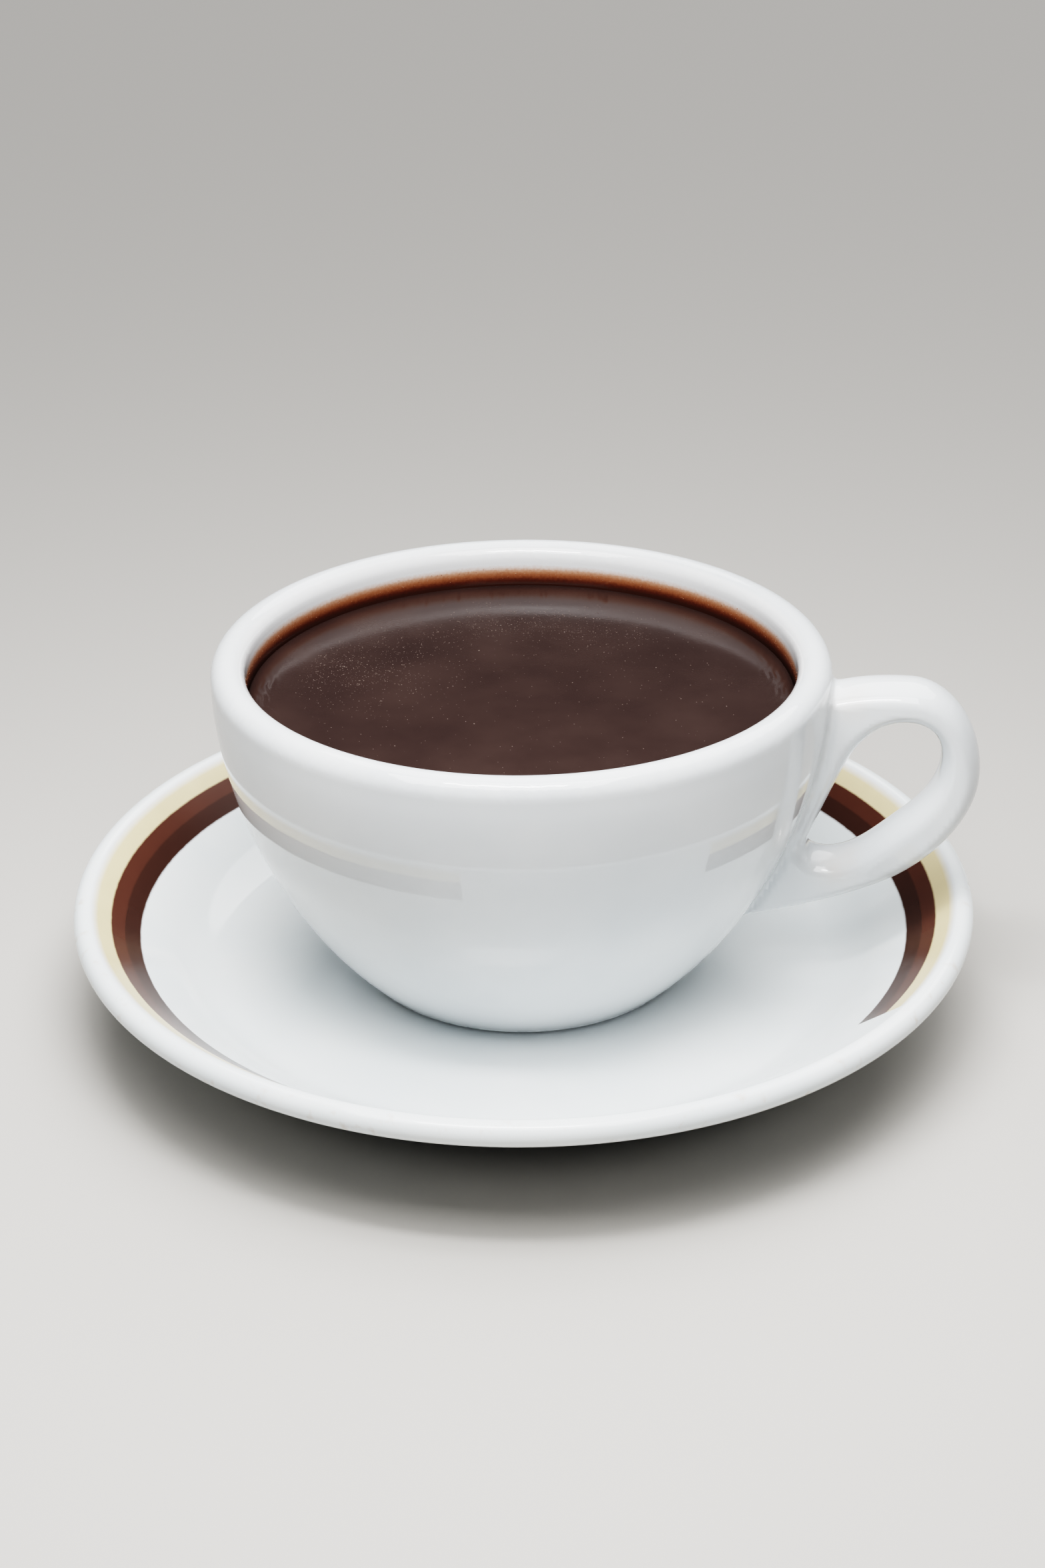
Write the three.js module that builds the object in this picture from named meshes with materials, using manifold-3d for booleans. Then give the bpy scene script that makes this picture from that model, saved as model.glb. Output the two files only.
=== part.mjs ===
// Hot chocolate in a wide white china cup with an ear handle, standing on its saucer.
// Millimetres, +Z up, the table at z = 0, the cup's axis at x = y = 0, the handle along +X.

import * as THREE from 'three';
import { mergeVertices } from 'three/addons/utils/BufferGeometryUtils.js';
import Module from 'manifold-3d';

const wasm = await Module();
wasm.setup();

// Driving sizes of the saucer
const saucerRadius = 80;
const rimBead = 2.1;            // half the thickness of the rounded rim
const rimHeight = 20.3;         // height of the widest point of the rim
const rimSlope = 40;            // degrees, the sloped border between the well and the rim
const underSlope = 34;          // degrees, the underside of that border
const wellHeight = 7;           // top of the flat well that the cup stands on
const wellTurnLength = 4;       // soft turn between the well and the sloped border, each way
const plateBottom = 2.6;        // underside of the well
const saucerFootOuter = 48;
const saucerFootInner = 43;
const footDraft = 1;            // how far the sides of the foot ring lean

// Driving sizes of the cup
const restGap = 0.3;            // between the pieces where they meet
const cupBottom = wellHeight + restGap;
const outside = { radius: 53.2, top: 61.2, depth: 66.8, power: 1.72 };
const wall = 5.9;
const lipHeight = 63.7;         // centre of the fully rounded lip
const inside = { radius: outside.radius - wall, top: 61.2, depth: 48.2, power: 2.5 };
const cupFootInner = 24;
const footRecess = 1.5;
const footRounding = 0.7;

// Driving sizes of the ear handle
const earWidth = 11;            // across the handle, along Y
const earRoundingAcross = 4.2;  // rounded part of the width on each side
const earRoundingDeep = 2.6;    // rounded part of the strap's thickness

// Driving sizes of the drink
const drinkLevel = 59.6;
const drinkEdgeDrop = 1.4;      // the skin curves down to the wall
const drinkEdgeWidth = 4.5;

const segments = 64;

// Points of a bowl's side between two heights: full radius at the top, closing smoothly below.
function bowlCurve(bowl, fromHeight, toHeight, steps) {
  const turn = (height) => Math.asin(((bowl.top - height) / bowl.depth) ** (bowl.power / 2));
  const points = [];
  for (let i = 0; i <= steps; i += 1) {
    const angle = THREE.MathUtils.lerp(turn(fromHeight), turn(toHeight), i / steps);
    const height = bowl.top - bowl.depth * Math.sin(angle) ** (2 / bowl.power);
    points.push(new THREE.Vector2(bowl.radius * Math.cos(angle), height));
  }
  return points;
}

// Points of a round edge about a centre, between two angles in degrees.
function roundEdge(radius, height, bead, fromAngle, toAngle, steps) {
  const points = [];
  for (let i = 0; i <= steps; i += 1) {
    const angle = THREE.MathUtils.degToRad(THREE.MathUtils.lerp(fromAngle, toAngle, i / steps));
    points.push(new THREE.Vector2(radius + bead * Math.cos(angle), height + bead * Math.sin(angle)));
  }
  return points;
}

function quarterCurve(from, corner, to, steps) {
  const curve = new THREE.QuadraticBezierCurve(from, corner, to);
  return curve.getPoints(steps);
}

function point(radius, height) {
  return new THREE.Vector2(radius, height);
}

// A closed body as a solid: equal corners joined, flat triangles dropped.
function solidFrom(geometry) {
  geometry.deleteAttribute('normal');
  geometry.deleteAttribute('uv');
  const merged = mergeVertices(geometry, 1e-4);
  const index = merged.index.array;
  const triangles = [];
  for (let i = 0; i < index.length; i += 3) {
    const [a, b, c] = [index[i], index[i + 1], index[i + 2]];
    if (a !== b && b !== c && c !== a) {
      triangles.push(a, b, c);
    }
  }
  const mesh = new wasm.Mesh({
    numProp: 3,
    vertProperties: new Float32Array(merged.attributes.position.array),
    triVerts: new Uint32Array(triangles),
  });
  return new wasm.Manifold(mesh);
}

// A profile turned about the Z axis; it starts and ends on the axis, going up on the outside.
function turned(profile) {
  const geometry = new THREE.LatheGeometry(profile, segments);
  geometry.rotateX(Math.PI / 2);
  return solidFrom(geometry);
}

function named(name, solid, material) {
  const { vertProperties, triVerts, numProp } = solid.getMesh();
  const corners = new Float32Array((vertProperties.length / numProp) * 3);
  for (let i = 0; i < corners.length / 3; i += 1) {
    corners.set(vertProperties.subarray(i * numProp, i * numProp + 3), i * 3);
  }
  const geometry = new THREE.BufferGeometry();
  geometry.setAttribute('position', new THREE.BufferAttribute(corners, 3));
  geometry.setIndex(new THREE.BufferAttribute(new Uint32Array(triVerts), 1));
  geometry.computeVertexNormals();
  const mesh = new THREE.Mesh(geometry, material);
  mesh.name = name;
  return mesh;
}

// Saucer: foot ring, thin plate, sloped border and rounded rim around a flat well.
function makeSaucer() {
  const rim = roundEdge(saucerRadius - rimBead, rimHeight, rimBead, underSlope - 90, rimSlope + 90, 8);
  const wellTurn = turnBelow(rim[rim.length - 1], rimSlope, wellHeight);
  const underTurn = turnBelow(rim[0], underSlope, plateBottom);
  return turned([
    point(0, plateBottom),
    point(saucerFootInner - footDraft, plateBottom),
    point(saucerFootInner, 0),
    point(saucerFootOuter, 0),
    point(saucerFootOuter + footDraft, plateBottom),
    ...underTurn,
    ...rim,
    ...wellTurn.reverse(),
    point(0, wellHeight),
  ]);
}

// A soft turn from a level floor up into a slope that ends at the rim.
function turnBelow(rimPoint, slope, floorHeight) {
  const rise = Math.tan(THREE.MathUtils.degToRad(slope));
  const corner = point(rimPoint.x - (rimPoint.y - floorHeight) / rise, floorHeight);
  const start = point(corner.x - wellTurnLength, floorHeight);
  const end = point(corner.x + wellTurnLength, floorHeight + wellTurnLength * rise);
  return quarterCurve(start, corner, end, 5);
}

// Ear handle: a rounded strap around a finger hole, its inner side running down the cup's wall.
function makeEar() {
  const ear = new THREE.Shape();
  ear.moveTo(36, 17.4);
  ear.bezierCurveTo(47, 19.4, 59.5, 23.9, 66.1, 27.9);
  ear.bezierCurveTo(72.8, 32.3, 79, 40, 79, 47.6);
  ear.bezierCurveTo(79, 56.4, 73.4, 64, 66.6, 64.2);
  ear.bezierCurveTo(63, 64.3, 59.5, 64, 56, 63.2);
  ear.lineTo(48, 61.8);
  ear.closePath();

  const fingerHole = new THREE.Path();
  fingerHole.moveTo(66.5, 57.25);
  fingerHole.bezierCurveTo(62.6, 57.25, 59.3, 54.6, 57, 50.2);
  fingerHole.bezierCurveTo(55.1, 46.2, 52.1, 38.2, 50.6, 34.4);
  fingerHole.bezierCurveTo(49.6, 32, 51.2, 30.5, 54.4, 30.9);
  fingerHole.bezierCurveTo(58.4, 31.4, 62, 35.4, 66.1, 39.1);
  fingerHole.bezierCurveTo(70, 42.7, 72.2, 46.7, 72.2, 50.6);
  fingerHole.bezierCurveTo(72.2, 54.5, 70.2, 57.25, 66.5, 57.25);
  ear.holes.push(fingerHole);

  const depth = earWidth - 2 * earRoundingAcross;
  const geometry = new THREE.ExtrudeGeometry(ear, {
    depth,
    curveSegments: 6,
    bevelEnabled: true,
    bevelThickness: earRoundingAcross,
    bevelSize: earRoundingDeep,
    bevelOffset: -earRoundingDeep,
    bevelSegments: 5,
  });
  geometry.translate(0, 0, -depth / 2);
  geometry.rotateX(Math.PI / 2);
  return solidFrom(geometry);
}

// Cup: foot ring, wide bowl with a thick rounded lip, and the ear joined on one side.
function makeCup() {
  const lip = roundEdge(outside.radius - wall / 2, lipHeight, wall / 2, 0, 180, 8);
  const bowlStart = cupBottom + footRounding;
  const bowl = bowlCurve(outside, bowlStart, outside.top, 12);
  const hollow = bowlCurve(inside, inside.top - inside.depth, inside.top, 11);
  const body = turned([
    point(0, cupBottom + footRecess),
    point(cupFootInner - footRecess, cupBottom + footRecess),
    point(cupFootInner, cupBottom),
    point(bowl[0].x - footRounding, cupBottom),
    ...bowl,
    ...lip,
    ...hollow.reverse(),
  ]);
  const midWall = { ...inside, radius: inside.radius + wall / 2, depth: inside.depth + wall / 2 };
  const withinWall = turned([
    ...bowlCurve(midWall, midWall.top - midWall.depth, midWall.top, 14),
    point(midWall.radius, lipHeight + wall),
    point(0, lipHeight + wall),
  ]);
  return body.add(makeEar().subtract(withinWall));
}

// Drink: fills the bowl up to its level, the surface curving down at the wall.
function makeDrink() {
  const held = { ...inside, radius: inside.radius - restGap, depth: inside.depth - restGap };
  const edgeHeight = drinkLevel - drinkEdgeDrop;
  const side = bowlCurve(held, held.top - held.depth, edgeHeight, 9);
  const edge = side[side.length - 1];
  const surface = quarterCurve(edge, point(edge.x, drinkLevel), point(edge.x - drinkEdgeWidth, drinkLevel), 5);
  return turned([
    ...side,
    ...surface.slice(1),
    point(0, drinkLevel),
  ]);
}

const china = new THREE.MeshStandardMaterial({ color: '#e4e7e9', roughness: 0.15, metalness: 0 });
const chocolate = new THREE.MeshStandardMaterial({ color: '#4b3430', roughness: 0.3, metalness: 0 });

const part = new THREE.Group();
part.name = 'hot_chocolate_cup';
part.add(named('saucer', makeSaucer(), china));
part.add(named('cup', makeCup(), china));
part.add(named('hot_chocolate', makeDrink(), chocolate));

export default part;
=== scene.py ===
# Hot chocolate in a thick white china cup on its saucer: the visible surfaces and their finishes.
# Sizes are in millimetres until a mesh is made, then in metres. +X runs along the handle, +Z is up.

import math

import bpy
import numpy as np
from mathutils import Euler, Matrix, Vector


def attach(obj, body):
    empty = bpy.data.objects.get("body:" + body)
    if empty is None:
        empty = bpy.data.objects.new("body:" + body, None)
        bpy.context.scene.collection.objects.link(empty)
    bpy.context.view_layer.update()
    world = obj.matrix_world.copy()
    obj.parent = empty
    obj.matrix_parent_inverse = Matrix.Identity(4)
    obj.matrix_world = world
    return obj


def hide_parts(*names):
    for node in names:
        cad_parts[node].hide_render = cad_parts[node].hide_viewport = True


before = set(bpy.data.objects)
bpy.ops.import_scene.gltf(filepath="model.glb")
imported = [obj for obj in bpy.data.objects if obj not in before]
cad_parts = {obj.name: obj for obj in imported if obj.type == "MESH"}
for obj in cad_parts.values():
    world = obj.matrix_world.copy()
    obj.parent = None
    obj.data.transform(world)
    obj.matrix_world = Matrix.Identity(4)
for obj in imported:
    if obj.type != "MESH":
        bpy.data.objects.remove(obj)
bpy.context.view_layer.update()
draw = np.random.default_rng(12)

MM = 0.001

# Saucer
SAUCER_RADIUS = 80.0
RIM_BEAD = 2.1
RIM_HEIGHT = 20.3
RIM_SLOPE = 40.0
UNDER_SLOPE = 34.0
WELL_HEIGHT = 7.0
TURN_LENGTH = 4.0
PLATE_BOTTOM = 2.6
SAUCER_FOOT = (43.0, 48.0)
FOOT_DRAFT = 1.0

# Bands printed on the saucer's slope, by radius, and the stretch in degrees where they stop
CREAM_FADE = 77.0
CREAM_OUTER = 75.6
CREAM_INNER = 73.6
MID_BROWN_INNER = 71.3
DARK_BROWN_INNER = 68.7
BAND_GAP_MIDDLE = -62.4
BAND_GAP_HALF = 35.1

# Cup: bowls are (full radius, height of full radius, depth, power of the curve)
CUP_BOTTOM = 7.3
OUTSIDE = (53.2, 61.2, 66.8, 1.72)
WALL = 5.9
INSIDE = (OUTSIDE[0] - WALL, 61.2, 48.2, 2.5)
LIP_HEIGHT = 63.7
CUP_FOOT_INNER = 24.0
FOOT_RECESS = 1.5
FOOT_ROUNDING = 0.7

# Ear handle: how far it reaches, the strap's rounded section, how far it is set into the wall,
# the fillet between them, and how softly its two edges meet where the strap is narrow
EAR_REACH = 79.0
EAR_HALF_WIDTH = 5.5
EAR_ROUNDING = 2.9
EAR_SET_IN = 0.9
EAR_FILLET = 1.6
EAR_RIDGE = 2.0

# Drink: a level skin that sinks towards the wall and rolls over at its edge
DRINK_LEVEL = 59.3
BROW_WIDTH = 4.5
BROW_DROP = 0.5
ROLL_WIDTH = 0.7
EDGE_DROP = 1.4
INTO_WALL = 0.15

# Slow swells all over the skin
SWELL_LENGTHS = (9, 13, 17, 22, 27)
SWELL_HEIGHT = 0.003

# Short cracks behind: the way they run and the sector they lie in, in degrees, where they stand side by
# side (from, to, how many), the nearest that they come to the wall, and the least and most of their sizes
CRACK_WAY = 98.9
CRACKED_SECTOR = (66, 128)
CRACK_GROUPS = ((-22, 18, 20), (13, 17, 7))
CRACK_FROM_WALL = 2.0
CRACK_DEPTH = (0.02, 0.09)
CRACK_REACH = (3.0, 5.5)
CRACK_WIDTH = (0.14, 0.3)

# Folds at both sides: where (degrees around), how they lean and how far they spread in degrees
FOLDS = ((9, 0.25, 13), (196, -0.2, 12))
FOLD_HEIGHT = 0.06
FOLD_SPACING = 1.3
FOLD_FROM_WALL = 3.2
FOLD_BREADTH = 1.7

# Froth in the skin, and froth that has dried along the top of the film on the wall
FROTH_TRIES = 15000
FROTH_REACH = 39.0
BUBBLE_SIZE = 0.062
FILM_TOP = 62.7
SPECKS = 1200
SPECK_HEIGHT = 61.2
SPECK_SIZE = 0.06

# Fineness of the meshes: the cup's grid, and the steps around the drink and the saucer
SKIN_STEP = 0.8
DRINK_SIDES = 720
SAUCER_SIDES = 224

# Sockets of a Mix node that mixes colours
MIX_A, MIX_B, MIX_RESULT = 6, 7, 2


# Outlines

def bowl_radius(bowl, height):
    """Radius of a bowl's side at a height: full at the top, closing smoothly below."""
    radius, top, depth, power = bowl
    return radius * np.sqrt(1 - (np.clip(top - height, 0, depth) / depth) ** power)


def bowl_side(bowl, low, high, steps):
    """Points (radius, height) of a bowl's side, evenly spread around its curve."""
    radius, top, depth, power = bowl
    turns = [math.asin(((top - height) / depth) ** (power / 2)) for height in (low, high)]
    angle = np.linspace(*turns, steps + 1)
    return np.column_stack([radius * np.cos(angle), top - depth * np.sin(angle) ** (2 / power)])


def round_edge(radius, height, bead, start, end, steps):
    """Points of a round edge about a centre, between two angles in degrees."""
    angle = np.radians(np.linspace(start, end, steps + 1))
    return np.column_stack([radius + bead * np.cos(angle), height + bead * np.sin(angle)])


def curve(*control, steps=24):
    """Points of a quadratic or cubic Bezier curve."""
    points = np.array(control, float)
    t = np.linspace(0, 1, steps + 1)[:, None]
    degree = len(points) - 1
    weights = [math.comb(degree, i) * t ** i * (1 - t) ** (degree - i) for i in range(degree + 1)]
    return sum(weight * point for weight, point in zip(weights, points))


def turn_below(rim_point, slope, floor):
    """A soft turn from a level floor up into a slope that ends at the rim."""
    rise = math.tan(math.radians(slope))
    corner = rim_point[0] - (rim_point[1] - floor) / rise
    end = (corner + TURN_LENGTH, floor + TURN_LENGTH * rise)
    return curve((corner - TURN_LENGTH, floor), (corner, floor), end, steps=14)


def finely(points, spacing):
    """The same line with points no further apart than the spacing."""
    fine = [points[:1]]
    for a, b in zip(points[:-1], points[1:]):
        parts = max(1, math.ceil(np.linalg.norm(b - a) / spacing))
        fine.append(a + (b - a) * np.linspace(0, 1, parts + 1)[1:, None])
    return np.vstack(fine)


def without_repeats(path):
    """The same path with each doubled point taken once."""
    moved = np.linalg.norm(np.diff(path, axis=0), axis=1) > 1e-9
    return path[np.r_[True, moved]]


# Meshes

def piece(name, corners, faces, material, node=None, normals=None):
    """A smooth mesh piece that rides with the part, from corners in millimetres."""
    mesh = bpy.data.meshes.new(name)
    mesh.from_pydata((np.asarray(corners) * MM).tolist(), [], [list(map(int, face)) for face in faces])
    mesh.polygons.foreach_set("use_smooth", [True] * len(mesh.polygons))
    if normals is not None:
        mesh.normals_split_custom_set_from_vertices(normals.tolist())
    mesh.materials.append(material)
    made = bpy.data.objects.new(name, mesh)
    bpy.context.scene.collection.objects.link(made)
    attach(made, "root")
    if node:
        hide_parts(node)
    return made


def around(radius, height, angle):
    """Corners of rings about Z, one row for each ring."""
    return np.stack([radius * np.cos(angle), radius * np.sin(angle), height + 0 * angle], -1)


def evenly_around(count):
    """Angles spread evenly over a full turn."""
    return np.arange(count) * 2 * math.pi / count


def rows_of_faces(rows, sides):
    """Quads between neighbouring rings."""
    low = np.arange(rows - 1)[:, None] * sides
    high = low + sides
    side = np.arange(sides)
    after = (side + 1) % sides
    return np.stack([low + side, low + after, high + after, high + side], -1).reshape(-1, 4).tolist()


def turned(profile, angle, relief=None):
    """Corners and faces of a profile turned about Z; it starts on the axis below and ends on it above."""
    sides = len(angle)
    ring_radius, ring_angle = np.meshgrid(profile[1:-1, 0], angle, indexing="ij")
    ring_height = np.repeat(profile[1:-1, 1:], sides, axis=1)
    if relief is not None:
        ring_height = ring_height + relief(ring_radius, ring_angle, ring_height)
    rows = len(profile) - 2
    ends = [(0, 0, profile[0, 1]), (0, 0, profile[-1, 1])]
    corners = np.vstack([around(ring_radius, ring_height, ring_angle).reshape(-1, 3), ends])
    faces = rows_of_faces(rows, sides)
    last = (rows - 1) * sides
    for side in range(sides):
        after = (side + 1) % sides
        faces.append((rows * sides, after, side))
        faces.append((rows * sides + 1, last + side, last + after))
    return corners, faces


def domes(places, outward, sizes):
    """Many small domes in one mesh, each on its place and facing outward, its foot sunk in a little."""
    sides = 7
    foot_height = -0.3
    shoulder_width, shoulder_height = 0.75, 0.5
    top = 0.75
    angle = evenly_around(sides)
    ring = np.stack([np.cos(angle), np.sin(angle)], 1)
    foot = np.column_stack([ring, np.full(sides, foot_height)])
    shoulder = np.column_stack([shoulder_width * ring, np.full(sides, shoulder_height)])
    shape = np.vstack([foot, shoulder, [(0, 0, top)]])
    helper = np.where(np.abs(outward[:, 2:]) > 0.7, [[1.0, 0, 0]], [[0, 0, 1.0]])
    across = np.cross(helper, outward)
    across /= np.linalg.norm(across, axis=1)[:, None]
    along = np.cross(outward, across)
    axes = np.stack([across, along, outward], 1)
    corners = places[:, None] + sizes[:, None, None] * np.einsum("vk,nkd->nvd", shape, axes)
    faces = rows_of_faces(2, sides)
    faces += [(sides + side, sides + (side + 1) % sides, 2 * sides) for side in range(sides)]
    starts = range(0, len(places) * len(shape), len(shape))
    all_faces = [[start + corner for corner in face] for start in starts for face in faces]
    return corners.reshape(-1, 3), all_faces


def signed_distance(points, path):
    """Distance of 2-D points to a closed or axis-to-axis path, negative inside it."""
    x, z = points
    nearest = np.full(x.shape, np.inf)
    inside = np.zeros(x.shape, bool)
    for (ax, az), (bx, bz) in zip(path[:-1], path[1:]):
        along_x, along_z = bx - ax, bz - az
        part = ((x - ax) * along_x + (z - az) * along_z) / (along_x ** 2 + along_z ** 2)
        part = np.clip(part, 0, 1)
        nearest = np.minimum(nearest, np.hypot(x - ax - part * along_x, z - az - part * along_z))
        if along_z:
            inside ^= ((az > z) != (bz > z)) & (x < ax + (z - az) * along_x / along_z)
    return np.where(inside, -nearest, nearest)


def soft_union(a, b, width):
    """Two bodies joined with a fillet."""
    blend = np.maximum(width - np.abs(a - b), 0) / width
    return np.minimum(a, b) - blend ** 2 * width / 4


def skin(values, low, step):
    """Corners and faces of the surface where gridded values change sign, one corner in each crossed cell."""
    inside = values < 0
    cell_corners = np.array(list(np.ndindex(2, 2, 2)))
    sums = sum(inside[tuple(slice(o, o + n - 1) for o, n in zip(offset, inside.shape))].astype(int)
               for offset in cell_corners)
    crossed = (sums > 0) & (sums < 8)
    cells = np.argwhere(crossed)
    at_corner = np.stack([values[tuple((cells + offset).T)] for offset in cell_corners], 1)
    place = np.zeros((len(cells), 3))
    hits = np.zeros(len(cells))
    for a in range(8):
        for b in range(a + 1, 8):
            if np.abs(cell_corners[a] - cell_corners[b]).sum() != 1:
                continue
            va, vb = at_corner[:, a], at_corner[:, b]
            hit = (va < 0) != (vb < 0)
            part = np.where(hit, va / np.where(hit, va - vb, 1), 0)
            place += hit[:, None] * (cell_corners[a] + part[:, None] * (cell_corners[b] - cell_corners[a]))
            hits += hit
    corners = (cells + place / hits[:, None]) * step + low
    number = np.full(crossed.shape, -1)
    number[crossed] = np.arange(len(cells))
    faces = []
    steps = np.eye(3, dtype=int)
    for axis in range(3):
        edges = np.argwhere(np.diff(inside.astype(int), axis=axis))
        one, two = steps[(axis + 1) % 3], steps[(axis + 2) % 3]
        ring = [number[tuple((edges - back).T)] for back in (0 * one, one, one + two, two)]
        quads = np.stack(ring, 1)
        outward = inside[tuple(edges.T)]
        quads[~outward] = quads[~outward][:, ::-1]
        faces.append(quads)
    return corners, np.vstack(faces)


# Cup with its ear

def cup_outline():
    """The cup's section from the axis, out along the foot, up the bowl, over the lip and down inside."""
    bowl = bowl_side(OUTSIDE, CUP_BOTTOM + FOOT_ROUNDING, OUTSIDE[1], 90)
    lip = round_edge(OUTSIDE[0] - WALL / 2, LIP_HEIGHT, WALL / 2, 0, 180, 40)
    hollow = bowl_side(INSIDE, INSIDE[1] - INSIDE[2], INSIDE[1], 70)[::-1]
    bowl_start = bowl[0, 0]
    foot_corner = (bowl_start - FOOT_ROUNDING / 2, CUP_BOTTOM)
    foot_edge = curve((bowl_start - FOOT_ROUNDING - 0.6, CUP_BOTTOM), foot_corner, bowl[0], steps=8)
    recess_top = CUP_BOTTOM + FOOT_RECESS
    recess = [(0, recess_top), (CUP_FOOT_INNER - FOOT_RECESS, recess_top), (CUP_FOOT_INNER, CUP_BOTTOM)]
    return np.vstack([recess, foot_edge, bowl[1:], lip, hollow])


def ear_outlines():
    """The ear's outer edge and its finger hole, as (distance from the axis, height) in the handle's plane."""
    beside_wall = bowl_side(OUTSIDE, 18.2, 61.0, 24)[::-1] - (EAR_SET_IN, 0)
    outer = np.vstack([
        curve((37, 17.6), (47, 19.4), (59.5, 23.9), (66.1, 27.9)),
        curve((66.1, 27.9), (72.8, 32.3), (EAR_REACH, 40), (EAR_REACH, 47.6)),
        curve((EAR_REACH, 47.6), (EAR_REACH, 56.4), (73.4, 64), (66.6, 64.2)),
        curve((66.6, 64.2), (63, 64.3), (59.5, 64), (56, 63.2)),
        [(52, 62.2)],
        beside_wall,
        [(37, 17.6)],
    ])
    finger_hole = np.vstack([
        curve((66.5, 57.25), (62.6, 57.25), (59.3, 54.6), (57, 50.2)),
        curve((57, 50.2), (55.1, 46.2), (52.1, 38.2), (50.6, 34.4)),
        curve((50.6, 34.4), (49.6, 32), (51.2, 30.5), (54.4, 30.9)),
        curve((54.4, 30.9), (58.4, 31.4), (62, 35.4), (66.1, 39.1)),
        curve((66.1, 39.1), (70, 42.7), (72.2, 46.7), (72.2, 50.6)),
        curve((72.2, 50.6), (72.2, 54.5), (70.2, 57.25), (66.5, 57.25)),
    ])
    return without_repeats(outer), without_repeats(finger_hole)


def ear_distance(x, z):
    """Distance to the flat ear, its outer edge less its finger hole."""
    outer, finger_hole = ear_outlines()
    return -soft_union(-signed_distance((x, z), outer), signed_distance((x, z), finger_hole), EAR_RIDGE)


def ear_body(flat_distance, across):
    """The ear as a rounded strap: its flat outline shrinks towards both sides."""
    deep = np.maximum(flat_distance + EAR_ROUNDING, 0) / EAR_ROUNDING
    return (np.hypot(deep, across / EAR_HALF_WIDTH) - 1) * EAR_ROUNDING


def make_cup(material):
    """Bowl and ear as one skin, found on a grid and then drawn onto the exact surface."""
    section = cup_outline()

    def exactly(points):
        x, y, z = points.T
        bowl = signed_distance((np.hypot(x, y), z), section)
        return soft_union(bowl, ear_body(ear_distance(x, z), y), EAR_FILLET)

    margin = 2
    low = np.array([-OUTSIDE[0] - margin, -OUTSIDE[0] - margin, CUP_BOTTOM - margin])
    high = np.array([EAR_REACH + margin, OUTSIDE[0] + margin, LIP_HEIGHT + WALL / 2 + margin])
    xs, ys, zs = [np.arange(a, b, SKIN_STEP) for a, b in zip(low, high)]
    table_radius = np.arange(0, 100, 0.2)
    bowl_table = signed_distance(np.meshgrid(table_radius, zs, indexing="ij"), section)
    flat_table = ear_distance(*np.meshgrid(xs, zs, indexing="ij"))
    x, y = np.meshgrid(xs, ys, indexing="ij")
    radius = np.hypot(x, y)
    levels = []
    for level in range(len(zs)):
        bowl = np.interp(radius, table_radius, bowl_table[:, level])
        ear = ear_body(flat_table[:, level, None], y)
        levels.append(soft_union(bowl, ear, EAR_FILLET))
    corners, faces = skin(np.stack(levels, -1), low, SKIN_STEP)

    probe = 0.02
    least_slope = 0.2
    for _ in range(3):
        value = exactly(corners)
        slope = np.stack([exactly(corners + probe * way) - value for way in np.eye(3)], 1) / probe
        corners = corners - (value / np.maximum((slope ** 2).sum(1), least_slope))[:, None] * slope
    normals = slope / np.linalg.norm(slope, axis=1)[:, None]
    return piece("cup_with_ear", corners, faces, material, "cup", normals)


# Saucer

def make_saucer(material):
    """A foot ring, a thin plate, a sloped border and a rounded rim around the well, turned about Z."""
    rim = round_edge(SAUCER_RADIUS - RIM_BEAD, RIM_HEIGHT, RIM_BEAD, UNDER_SLOPE - 90, RIM_SLOPE + 90, 36)
    under = turn_below(rim[0], UNDER_SLOPE, PLATE_BOTTOM)
    well = turn_below(rim[-1], RIM_SLOPE, WELL_HEIGHT)[::-1]
    foot_inner, foot_outer = SAUCER_FOOT
    foot = [(0, PLATE_BOTTOM), (foot_inner - FOOT_DRAFT, PLATE_BOTTOM), (foot_inner, 0), (foot_outer, 0),
            (foot_outer + FOOT_DRAFT, PLATE_BOTTOM)]
    profile = finely(np.vstack([foot, under, rim, well, [(0, WELL_HEIGHT)]]), 2.5)
    corners, faces = turned(profile, evenly_around(SAUCER_SIDES))
    return piece("saucer_plate", corners, faces, material, "saucer")


# Drink

def bump_at(value, middle, width):
    """A soft bump of height 1 about a middle."""
    return np.exp(-((value - middle) / width) ** 2)


def drink_relief(radius, angle, height):
    """Height of the skin's unevenness: slow swells, short cracks across the brow and folds at both sides."""
    x, y = radius * np.cos(angle), radius * np.sin(angle)
    relief = np.zeros_like(radius)
    for length in SWELL_LENGTHS:
        way, phase = draw.uniform(0, 2 * math.pi, 2)
        along = x * math.cos(way) + y * math.sin(way)
        relief += SWELL_HEIGHT * np.sin(along * 2 * math.pi / length + phase)

    from_wall = INSIDE[0] - radius
    crack_way = math.radians(CRACK_WAY)
    across_cracks = x * math.sin(crack_way) - y * math.cos(crack_way)
    behind = np.sin(angle) > 0
    for middle in np.concatenate([draw.uniform(*group) for group in CRACK_GROUPS]):
        depth, reach, width = [draw.uniform(*sizes) for sizes in (CRACK_DEPTH, CRACK_REACH, CRACK_WIDTH)]
        lengthwise = bump_at(from_wall, reach / 2 + CRACK_FROM_WALL, reach / 2)
        relief -= behind * depth * bump_at(across_cracks, middle, width) * lengthwise

    for middle, lean, spread in FOLDS:
        off = np.degrees(np.angle(np.exp(1j * (angle - math.radians(middle)))))
        along = np.radians(off) * radius
        wander = 1.5 * np.sin(along * 0.9)
        folds = np.sin((from_wall + lean * along) * 2 * math.pi / FOLD_SPACING + wander)
        patch = bump_at(off, 0, spread) * bump_at(from_wall, FOLD_FROM_WALL, FOLD_BREADTH)
        relief += FOLD_HEIGHT * folds * patch

    fade = 0.6
    on_top = np.clip((height - DRINK_LEVEL + EDGE_DROP) / fade, 0, 1)
    return relief * on_top


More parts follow.
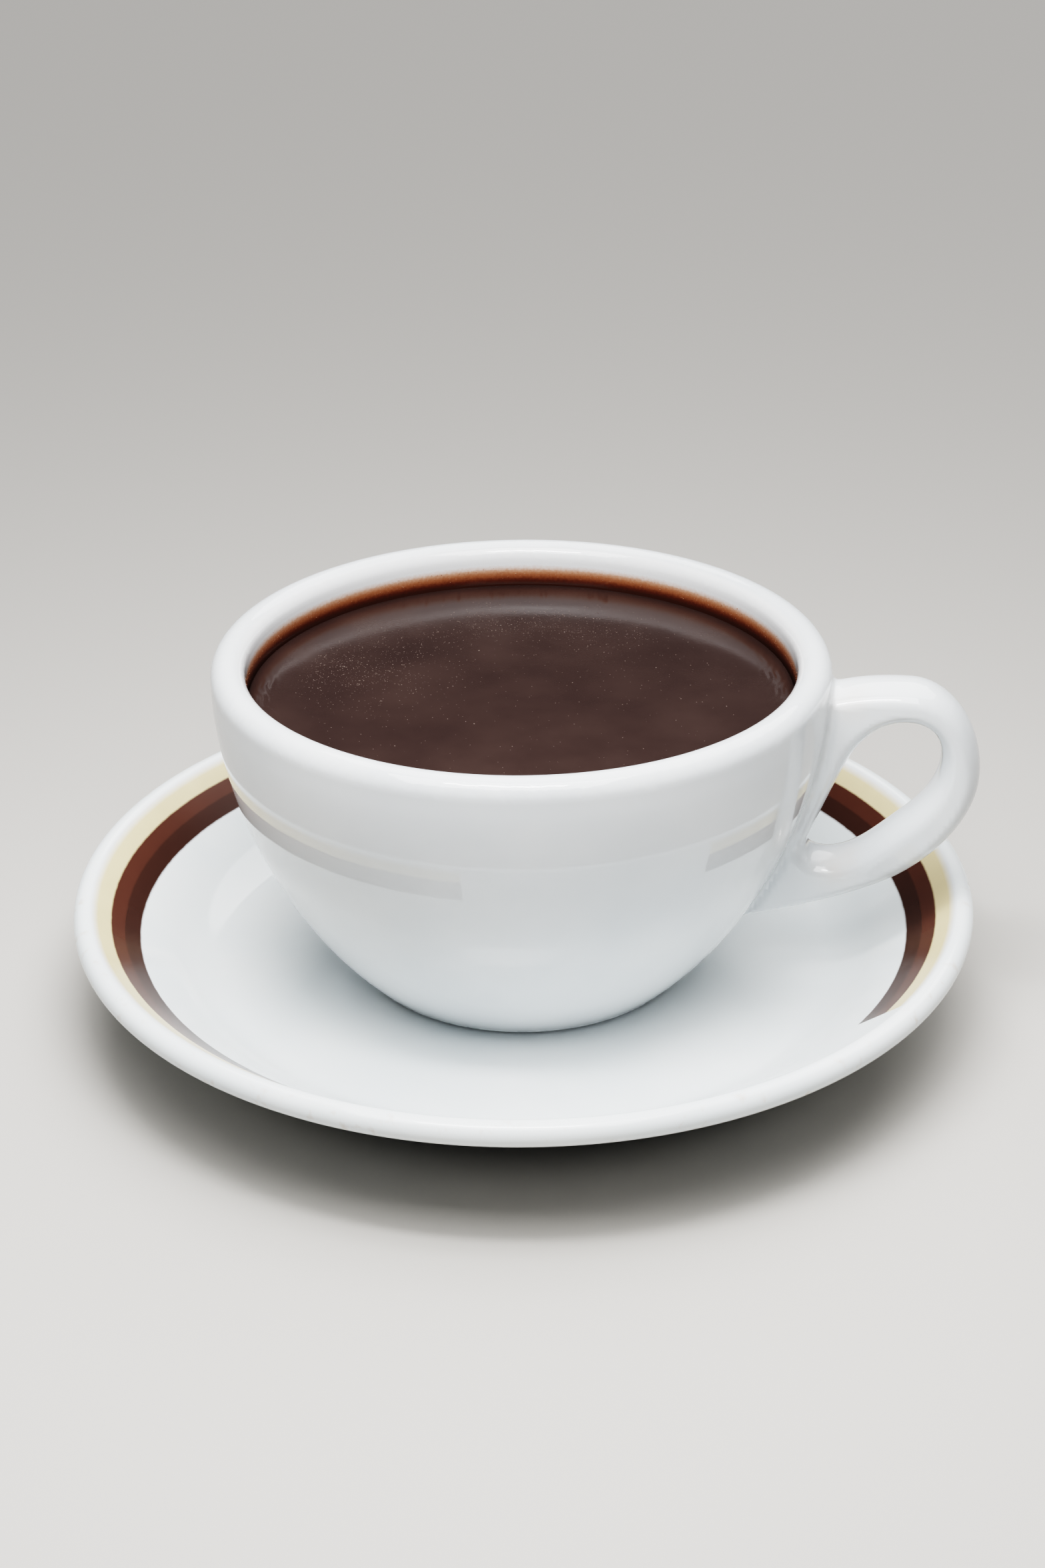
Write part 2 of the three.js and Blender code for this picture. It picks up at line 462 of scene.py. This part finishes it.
def make_drink(material):
    """The drink up to its level, with finer steps around where the cracks are."""
    held = (INSIDE[0] + INTO_WALL, INSIDE[1], INSIDE[2] + INTO_WALL, INSIDE[3])
    side = bowl_side(held, held[1] - held[2], DRINK_LEVEL - EDGE_DROP, 10)
    edge = side[-1, 0]

    def brow_height(from_edge):
        return DRINK_LEVEL - BROW_DROP * np.maximum(1 - from_edge / BROW_WIDTH, 0) ** 2

    lean = 2 * BROW_DROP / BROW_WIDTH * (1 - ROLL_WIDTH / BROW_WIDTH)
    roll_top = (edge - ROLL_WIDTH, brow_height(ROLL_WIDTH))
    corner_in = 0.1
    roll_corner = (edge - corner_in, roll_top[1] - lean * (ROLL_WIDTH - corner_in))
    roll = curve(side[-1], roll_corner, roll_top, steps=9)
    over_brow = np.linspace(ROLL_WIDTH, BROW_WIDTH, 14)
    beyond_brow = np.linspace(BROW_WIDTH, 2 * BROW_WIDTH, 14)[1:]
    from_edge = np.r_[over_brow, beyond_brow]
    brow = np.column_stack([edge - from_edge, brow_height(from_edge)])
    level = finely(np.array([brow[-1], (0, DRINK_LEVEL)]), 1.6)
    finer = np.radians(np.linspace(*CRACKED_SECTOR, DRINK_SIDES // 2))
    angle = np.sort(np.r_[evenly_around(DRINK_SIDES), finer])
    corners, faces = turned(np.vstack([side, roll[1:], brow[1:], level[1:]]), angle, drink_relief)
    return piece("drinking_chocolate", corners, faces, material, "hot_chocolate")


def make_froth_bubbles(material):
    """Fine bubbles caught in the skin: thick on the side away from the handle and along the back."""
    field = 43
    tries = draw.uniform(-field, field, (FROTH_TRIES, 2))
    radius = np.hypot(*tries.T)
    turn = np.degrees(np.arctan2(tries[:, 1], tries[:, 0]))
    beside = bump_at(tries[:, 0], -30, 13) * bump_at(tries[:, 1], 3, 11)
    behind = 0.7 * bump_at(radius, 27, 7) * bump_at(turn, 95, 45)
    elsewhere = 0.04
    kept = (draw.uniform(0, 1, len(tries)) < elsewhere + beside + behind) & (radius < FROTH_REACH)
    spots = tries[kept]
    places = np.column_stack([spots, np.full(len(spots), DRINK_LEVEL)])
    sizes = draw.lognormal(math.log(BUBBLE_SIZE), 0.3, len(spots))
    corners, faces = domes(places, np.tile([0.0, 0, 1], (len(spots), 1)), sizes)
    return piece("froth_bubbles", corners, faces, material)


def make_film_specks(material):
    """Dried froth along the film's upper edge."""
    angle = draw.uniform(0, 2 * math.pi, SPECKS)
    height = np.clip(draw.normal(SPECK_HEIGHT, 0.45, SPECKS), SPECK_HEIGHT - 1, SPECK_HEIGHT + 1.2)
    places = around(bowl_radius(INSIDE, height), height, angle)
    inward = around(-np.ones(SPECKS), np.zeros(SPECKS), angle)
    corners, faces = domes(places, inward, draw.lognormal(math.log(SPECK_SIZE), 0.3, SPECKS))
    return piece("film_specks", corners, faces, material)


# Finishes

def colour(code):
    """An sRGB hex colour as the linear colour that a shader takes."""
    parts = [int(code[i:i + 2], 16) / 255 for i in (1, 3, 5)]
    return [*(p / 12.92 if p <= 0.04045 else ((p + 0.055) / 1.055) ** 2.4 for p in parts), 1.0]


def per_metre(size):
    """Scale of a pattern whose features are a size in millimetres apart."""
    return 1 / (size * MM)


def node(material, kind, inputs, output=0, stops=None, **settings):
    """Adds a node with its settings, colour stops and inputs (values or other outputs); gives one output."""
    made = material.node_tree.nodes.new(kind)
    for name, value in settings.items():
        setattr(made, name, value)
    for name, value in inputs.items():
        if isinstance(value, bpy.types.NodeSocket):
            material.node_tree.links.new(value, made.inputs[name])
        else:
            made.inputs[name].default_value = value
    if stops:
        ramp = made.color_ramp.elements
        while len(ramp) < len(stops):
            ramp.new(1.0)
        for stop, (position, code) in zip(ramp, stops):
            stop.position = position
            stop.color = colour(code)
    return made.outputs[output]


def finish(name, **sockets):
    """A new material with one surface shader; sockets are its constant values."""
    material = bpy.data.materials.new(name)
    material.use_nodes = True
    shader = material.node_tree.nodes["Principled BSDF"]
    for socket, value in sockets.items():
        shader.inputs[socket.replace("_", " ")].default_value = value
    return material, shader


def porcelain(name, shaded, bright, roughness, ior):
    """White porcelain under a clear fired glaze: cool white, mirror-like, faintly wavy, a few dark pits."""
    cloud_size, wave_size, wave_height = 25, 9, 0.02
    pit_spacing, largest_pit = 11, 0.24
    material, shader = finish(name, Roughness=roughness, IOR=ior)
    place = node(material, "ShaderNodeTexCoord", {}, "Object")
    cloud = node(material, "ShaderNodeTexNoise",
                 {"Vector": place, "Scale": per_metre(cloud_size), "Detail": 3.0})
    glaze = node(material, "ShaderNodeValToRGB", {"Fac": cloud}, stops=[(0.35, shaded), (0.65, bright)])
    pits = {"Vector": place, "Scale": per_metre(pit_spacing)}
    from_pit = node(material, "ShaderNodeTexVoronoi", pits, "Distance")
    which = node(material, "ShaderNodeTexVoronoi", pits, "Color")
    pit_size = node(material, "ShaderNodeMapRange",
                    {"Value": which, "From Min": 0.55, "To Max": largest_pit / pit_spacing})
    in_pit = node(material, "ShaderNodeMath", {0: from_pit, 1: pit_size}, operation="LESS_THAN")
    pitted = node(material, "ShaderNodeMix", {0: in_pit, MIX_A: glaze, MIX_B: colour("#a39a90")},
                  MIX_RESULT, data_type="RGBA")
    waves = node(material, "ShaderNodeTexNoise",
                 {"Vector": place, "Scale": per_metre(wave_size), "Detail": 1.0})
    wavy = node(material, "ShaderNodeBump", {"Height": waves, "Distance": wave_height * MM})
    material.node_tree.links.new(wavy, shader.inputs["Normal"])
    return material, shader, place, pitted


def distance_from_axis(material, place):
    """The place laid flat on the table, and its distance from the axis."""
    flat = node(material, "ShaderNodeVectorMath", {0: place, 1: (1, 1, 0)}, operation="MULTIPLY")
    return flat, node(material, "ShaderNodeVectorMath", {0: flat}, "Value", operation="LENGTH")


def stained_cup_porcelain():
    """The cup: chocolate has dried in a soft fringe above the drink, and a tan tint lies in patches in the
    ear's corners.
    """
    # The cup's white is set greyer than the saucer's: painted shade, standing in for the dimmer light on the
    # cup's walls
    material, shader, place, glaze = porcelain("glazed_porcelain_cup", "#dbdfe2", "#e3e6e8", 0.035, 1.54)
    height = node(material, "ShaderNodeSeparateXYZ", {0: place}, "Z")
    _, radius = distance_from_axis(material, place)

    # Stain by height: thick and dark at the drink, thinner and paler upwards, its edge ragged
    grain_size, raggedness = 0.5, 0.6
    grain = node(material, "ShaderNodeTexNoise",
                 {"Vector": place, "Scale": per_metre(grain_size), "Detail": 2.0})
    ragged = node(material, "ShaderNodeMath", {0: grain, 1: raggedness * MM, 2: height},
                  operation="MULTIPLY_ADD")
    low, high = 58.9, FILM_TOP + 0.6
    up_stain = node(material, "ShaderNodeMapRange",
                    {"Value": ragged, "From Min": low * MM, "From Max": high * MM})
    tones = [(59.2, "#422922"), (59.8, "#552f24"), (60.2, "#6c412d"), (60.6, "#88583f"), (61.0, "#9a684d"),
             (61.4, "#ae7f66"), (61.8, "#c29b86"), (62.2, "#d8c5bb"), (FILM_TOP + 0.2, "#ebeced")]
    stops = [((at + raggedness / 2 - low) / (high - low), code) for at, code in tones]
    stain = node(material, "ShaderNodeValToRGB", {"Fac": up_stain}, stops=stops)

    # Only on the inner wall, from just below the drink's level
    inner_wall = INSIDE[0] + 0.9
    inside = node(material, "ShaderNodeMapRange",
                  {"Value": radius, "From Min": (inner_wall + 0.6) * MM, "From Max": inner_wall * MM})
    top = node(material, "ShaderNodeMath", {0: height, 1: (DRINK_LEVEL - 5) * MM}, operation="GREATER_THAN")
    on_wall = node(material, "ShaderNodeMath", {0: inside, 1: top}, operation="MULTIPLY")
    lined = node(material, "ShaderNodeMix", {0: on_wall, MIX_A: glaze, MIX_B: stain}, MIX_RESULT,
                 data_type="RGBA")

    # Tan in the ear's corners, in patches
    patch_size, most_tan = 4, 0.45
    patches = node(material, "ShaderNodeTexNoise",
                   {"Vector": place, "Scale": per_metre(patch_size), "Detail": 3.0})
    for corner, reach in (((55.5, -3.5, 30.5), 6.5), ((56.5, -4.0, 61.5), 5.0)):
        away = node(material, "ShaderNodeVectorMath", {0: place, 1: [c * MM for c in corner]}, "Value",
                    operation="DISTANCE")
        near = node(material, "ShaderNodeMapRange",
                    {"Value": away, "From Min": reach * MM, "From Max": 0.0, "To Max": most_tan},
                    interpolation_type="SMOOTHSTEP")
        amount = node(material, "ShaderNodeMath", {0: near, 1: patches}, operation="MULTIPLY")
        lined = node(material, "ShaderNodeMix", {0: amount, MIX_A: lined, MIX_B: colour("#d8bfa6")},
                     MIX_RESULT, data_type="RGBA")
    material.node_tree.links.new(lined, shader.inputs["Base Color"])
    return material


def banded_saucer_porcelain():
    """The saucer: three bands of ceramic colour fired under the glaze, and tan wear on the rim."""
    glaze_gloss, band_gloss = 0.09, 0.18
    white, dark_brown, mid_brown, cream = "#eceff1", "#452e27", "#57382e", "#decda6"
    material, shader, place, glaze = porcelain("banded_porcelain_saucer", "#ebf1f3", "#f2f6f7",
                                               glaze_gloss, 1.46)
    flat, radius = distance_from_axis(material, place)

    # Bands by radius, with soft and slightly uneven edges and tones
    brush_size, brush_wander = 2, 0.15
    brush = node(material, "ShaderNodeTexNoise",
                 {"Vector": place, "Scale": per_metre(brush_size), "Detail": 2.0})
    drawn = node(material, "ShaderNodeMath", {0: brush, 1: brush_wander * MM, 2: radius},
                 operation="MULTIPLY_ADD")
    low, high = 66.0, SAUCER_RADIUS
    across = node(material, "ShaderNodeMapRange",
                  {"Value": drawn, "From Min": low * MM, "From Max": high * MM})
    edge_softness = 0.15
    edges = [(DARK_BROWN_INNER, white, dark_brown), (MID_BROWN_INNER, dark_brown, mid_brown),
             (CREAM_INNER, mid_brown, cream), (CREAM_OUTER, cream, cream), (CREAM_FADE, white, white)]
    stops = [((at + side * edge_softness - low) / (high - low), code)
             for at, inner, outer in edges for side, code in ((-1, inner), (1, outer))]
    bands = node(material, "ShaderNodeValToRGB", {"Fac": across}, stops=stops)
    tone_size = 5
    tone = node(material, "ShaderNodeTexNoise",
                {"Vector": place, "Scale": per_metre(tone_size), "Detail": 4.0})
    uneven = node(material, "ShaderNodeMapRange", {"Value": tone, "To Min": 0.93, "To Max": 1.06})
    toned = node(material, "ShaderNodeMix", {0: 1.0, MIX_A: bands, MIX_B: uneven}, MIX_RESULT,
                 data_type="RGBA", blend_type="MULTIPLY")

    # Where they are printed: on the upper side, between their edges and outside the gap
    way = node(material, "ShaderNodeVectorMath", {0: flat}, operation="NORMALIZE")
    gap = math.radians(BAND_GAP_MIDDLE)
    towards_gap = node(material, "ShaderNodeVectorMath", {0: way, 1: (math.cos(gap), math.sin(gap), 0)},
                       "Value", operation="DOT_PRODUCT")
    stop_at = math.cos(math.radians(BAND_GAP_HALF))
    printed = node(material, "ShaderNodeMapRange",
                   {"Value": towards_gap, "From Min": stop_at + 0.001, "From Max": stop_at - 0.001})
    facing = node(material, "ShaderNodeNewGeometry", {}, "Normal")
    upward = node(material, "ShaderNodeSeparateXYZ", {0: facing}, "Z")
    on_top = node(material, "ShaderNodeMath", {0: upward, 1: 0.1}, operation="GREATER_THAN")
    in_band = node(material, "ShaderNodeMapRange",
                   {"Value": radius, "From Min": (DARK_BROWN_INNER - 0.4) * MM,
                    "From Max": (DARK_BROWN_INNER - 0.3) * MM})
    before_rim = node(material, "ShaderNodeMath", {0: radius, 1: CREAM_FADE * MM}, operation="LESS_THAN")
    masks = printed
    for mask in (on_top, in_band, before_rim):
        masks = node(material, "ShaderNodeMath", {0: masks, 1: mask}, operation="MULTIPLY")
    banded = node(material, "ShaderNodeMix", {0: masks, MIX_A: glaze, MIX_B: toned}, MIX_RESULT,
                  data_type="RGBA")
    duller = node(material, "ShaderNodeMapRange",
                  {"Value": masks, "To Min": glaze_gloss, "To Max": band_gloss})

    # Tan wear on the rim
    wear_size, most_wear = 3, 0.5
    wear = node(material, "ShaderNodeTexNoise",
                {"Vector": place, "Scale": per_metre(wear_size), "Detail": 5.0})
    worn = node(material, "ShaderNodeMapRange",
                {"Value": wear, "From Min": 0.6, "From Max": 0.75, "To Max": most_wear})
    outer = node(material, "ShaderNodeMapRange",
                 {"Value": radius, "From Min": (SAUCER_RADIUS - 3) * MM,
                  "From Max": (SAUCER_RADIUS - 1) * MM})
    tan = node(material, "ShaderNodeMath", {0: worn, 1: outer}, operation="MULTIPLY")
    aged = node(material, "ShaderNodeMix", {0: tan, MIX_A: banded, MIX_B: colour("#cdb9a4")},
                MIX_RESULT, data_type="RGBA")
    for value, socket in ((aged, "Base Color"), (duller, "Roughness")):
        material.node_tree.links.new(value, shader.inputs[socket])
    return material


def set_chocolate():
    """Thick drinking chocolate that has cooled to a skin: satin dark brown, clouded by cocoa fat."""
    cloud_size, grain_size, grain_height = 14, 0.7, 0.006
    material, shader = finish("set_drinking_chocolate", IOR=1.35, Specular_IOR_Level=0.32)
    place = node(material, "ShaderNodeTexCoord", {}, "Object")
    cloud = node(material, "ShaderNodeTexNoise",
                 {"Vector": place, "Scale": per_metre(cloud_size), "Detail": 4.0})
    brown = node(material, "ShaderNodeValToRGB", {"Fac": cloud}, stops=[(0.3, "#342927"), (0.7, "#3b2f2c")])
    gloss = node(material, "ShaderNodeMapRange",
                 {"Value": cloud, "From Min": 0.3, "From Max": 0.7, "To Min": 0.11, "To Max": 0.19})
    grain = node(material, "ShaderNodeTexNoise",
                 {"Vector": place, "Scale": per_metre(grain_size), "Detail": 2.0})
    satin = node(material, "ShaderNodeBump", {"Height": grain, "Distance": grain_height * MM})
    for value, socket in ((brown, "Base Color"), (gloss, "Roughness"), (satin, "Normal")):
        material.node_tree.links.new(value, shader.inputs[socket])
    return material


def froth(name, dark, pale):
    """Tiny dried bubbles: their thin walls scatter light, so they look paler than the chocolate."""
    patch_size = 1.5
    material, shader = finish(name, Roughness=0.35, IOR=1.4)
    place = node(material, "ShaderNodeTexCoord", {}, "Object")
    mixed = node(material, "ShaderNodeTexNoise",
                 {"Vector": place, "Scale": per_metre(patch_size), "Detail": 1.0})
    tone = node(material, "ShaderNodeValToRGB", {"Fac": mixed}, stops=[(0.35, dark), (0.65, pale)])
    material.node_tree.links.new(tone, shader.inputs["Base Color"])
    return material


make_cup(stained_cup_porcelain())
make_saucer(banded_saucer_porcelain())
make_drink(set_chocolate())
make_froth_bubbles(froth("froth_bubbles_in_skin", "#4b3f3c", "#72665f"))
make_film_specks(froth("dried_froth_on_wall", "#855b45", "#ad8670"))


# Stage: a pale floor, soft overhead light and the photograph's view, in metres

def light(name, kind, place, **settings):
    """A studio light at a place, turned towards the cup."""
    data = bpy.data.lights.new(name, kind)
    for setting, value in settings.items():
        setattr(data, setting, value)
    made = bpy.data.objects.new(name, data)
    made.location = place
    cup_middle = Vector((0, 0, 0.04))
    made.rotation_euler = (cup_middle - Vector(place)).to_track_quat("-Z", "Y").to_euler()
    bpy.context.scene.collection.objects.link(made)


scene = bpy.context.scene
reach = 8
floor_mesh = bpy.data.meshes.new("pale_floor")
floor_corners = [(-reach, -reach, 0), (reach, -reach, 0), (reach, reach, 0), (-reach, reach, 0)]
floor_mesh.from_pydata(floor_corners, [], [(0, 1, 2, 3)])
floor = bpy.data.objects.new("pale_floor", floor_mesh)
scene.collection.objects.link(floor)
floor_finish, _ = finish("pale_matte_floor", Base_Color=colour("#bdbab6"), Roughness=0.7)
floor_mesh.materials.append(floor_finish)

light("key_softbox", "AREA", (0.0, -0.12, 0.31), shape="RECTANGLE", size=0.28, size_y=0.2, energy=0.95)
light("key_strip", "AREA", (0.0, -0.11, 0.285), shape="RECTANGLE", size=0.13, size_y=0.03, energy=0.32)
light("overhead_diffuser", "SUN", (0.08, 0.38, 0.75), angle=math.radians(60), energy=1.9)

scene.world = bpy.data.worlds.new("studio")
scene.world.use_nodes = True
background = scene.world.node_tree.nodes["Background"]
background.inputs["Color"].default_value = colour("#e6e8ea")
background.inputs["Strength"].default_value = 0.15
scene.view_settings.view_transform = "Filmic"
scene.view_settings.look = "Very High Contrast"

camera_data = bpy.data.cameras.new("camera")
camera_data.sensor_width = 36
camera_data.lens = 54.97
camera = bpy.data.objects.new("camera", camera_data)
scene.collection.objects.link(camera)
camera_place = Matrix.Translation((0.05809, -0.37267, 0.23057))
camera_turn = Euler((math.radians(90 - 26.789), 0, math.radians(8.854))).to_matrix().to_4x4()
camera_roll = Matrix.Rotation(math.radians(-0.485), 4, "Z")
camera.matrix_world = camera_place @ camera_turn @ camera_roll
bpy.context.scene.camera = camera
